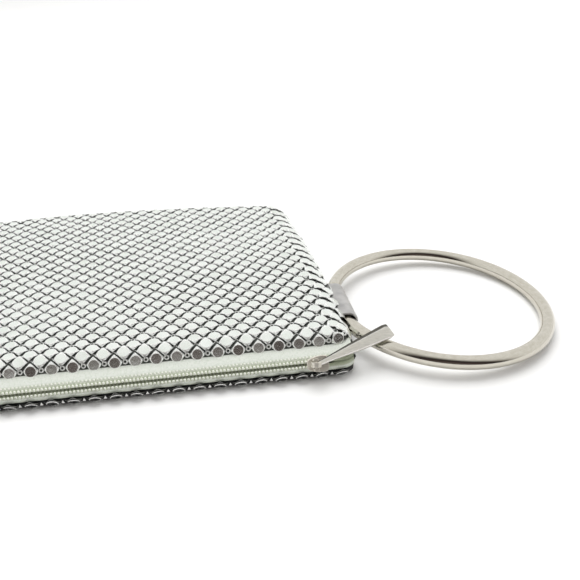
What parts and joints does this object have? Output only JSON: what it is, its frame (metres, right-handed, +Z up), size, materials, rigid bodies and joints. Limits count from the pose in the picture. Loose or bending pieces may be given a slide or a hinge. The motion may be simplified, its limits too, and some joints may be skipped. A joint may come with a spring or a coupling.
{
  "type": "mesh purse",
  "caption": "Flat zip-top wristlet purse of linked metal plates, with a long tapered zip pull and a round tubular ring handle held by a folded strip at one side.",
  "frame": {"origin": "middle of the flat underside, midway between the zip and the fold", "axes": "+X along the zip towards the ring handle, +Y from the zip towards the folded edge, +Z up out of the upper face"},
  "size_m": [0.2644, 0.1302, 0.012],
  "materials": {
    "mesh": "polished plates",
    "tape": "woven",
    "coil": "matte",
    "cast": "satin plated",
    "strip": "satin metallic",
    "ring": "polished nickel"
  },
  "bodies": {
    "purse": {"mesh_body": "mesh", "zip_tape_upper": "tape", "zip_tape_lower": "tape", "zip_coil": "coil", "zip_slider": "cast", "ring_tab": "strip"},
    "pull": {"zip_pull": "cast"},
    "ring": {"ring_handle": "ring"}
  },
  "joints": [
    {"name": "pull_swing", "type": "hinge", "parent": "purse", "child": "pull", "pos_m": [0.0825, -0.06133, 0.00683], "axis": [0, -0.5299, -0.848], "range_deg": [0, 180]},
    {"name": "ring_turn", "type": "hinge", "parent": "purse", "child": "ring", "pos_m": [0.1309, -0.03, 0.00415], "axis": [0.0558, 0, 0.9984], "continuous": true}
  ]
}
